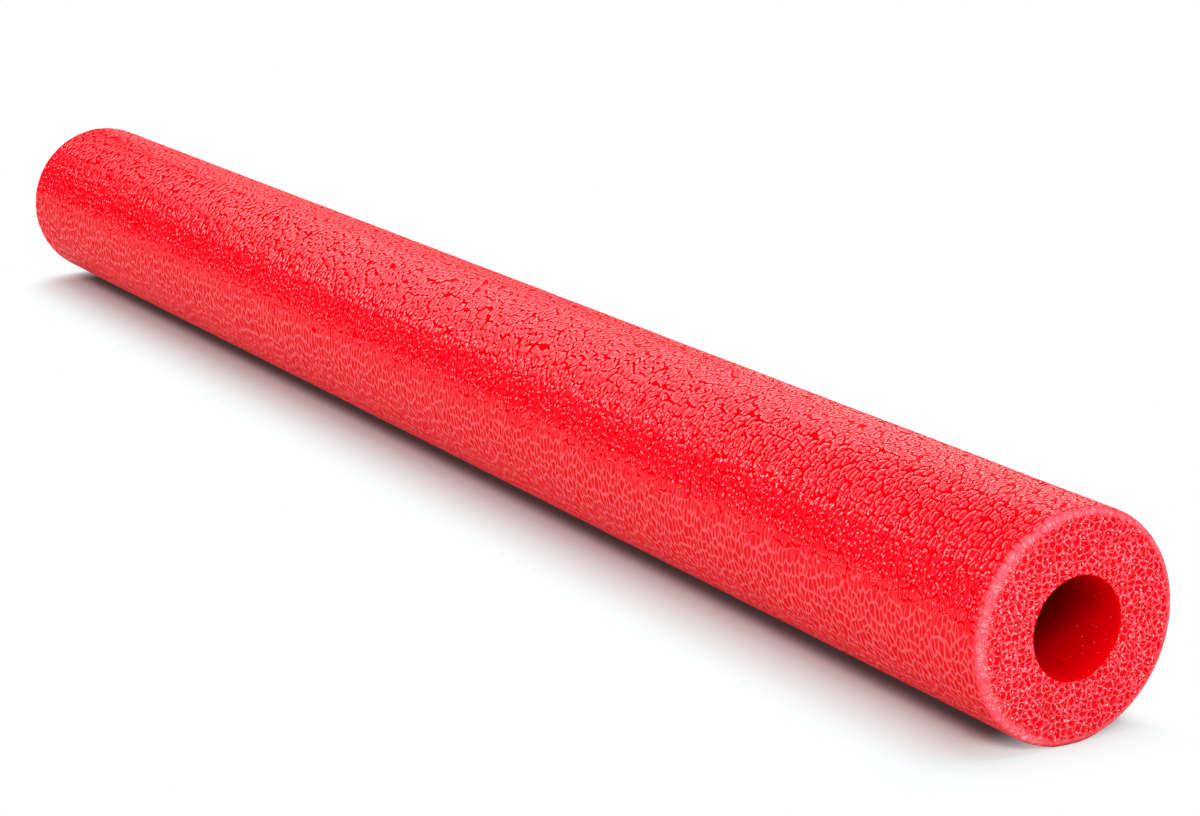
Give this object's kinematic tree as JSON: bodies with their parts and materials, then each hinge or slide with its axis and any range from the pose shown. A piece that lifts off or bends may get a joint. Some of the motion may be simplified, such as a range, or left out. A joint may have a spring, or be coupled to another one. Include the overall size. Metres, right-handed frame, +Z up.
{
  "type": "pool noodle",
  "caption": "Foam swimming float: a straight round tube of closed-cell foam with a through bore, soft outer rims and square-cut ends, lying on its side.",
  "frame": {"origin": "on the surface that the tube lies on, under the middle of its length", "axes": "+X along the tube, +Z up"},
  "size_m": [0.68, 0.065, 0.0645],
  "materials": {
    "foam": "closed-cell polyethylene foam: pebbled satin skin, open cut cells on the ends"
  },
  "bodies": {
    "root": {"foam_tube": "foam"}
  },
  "joints": []
}
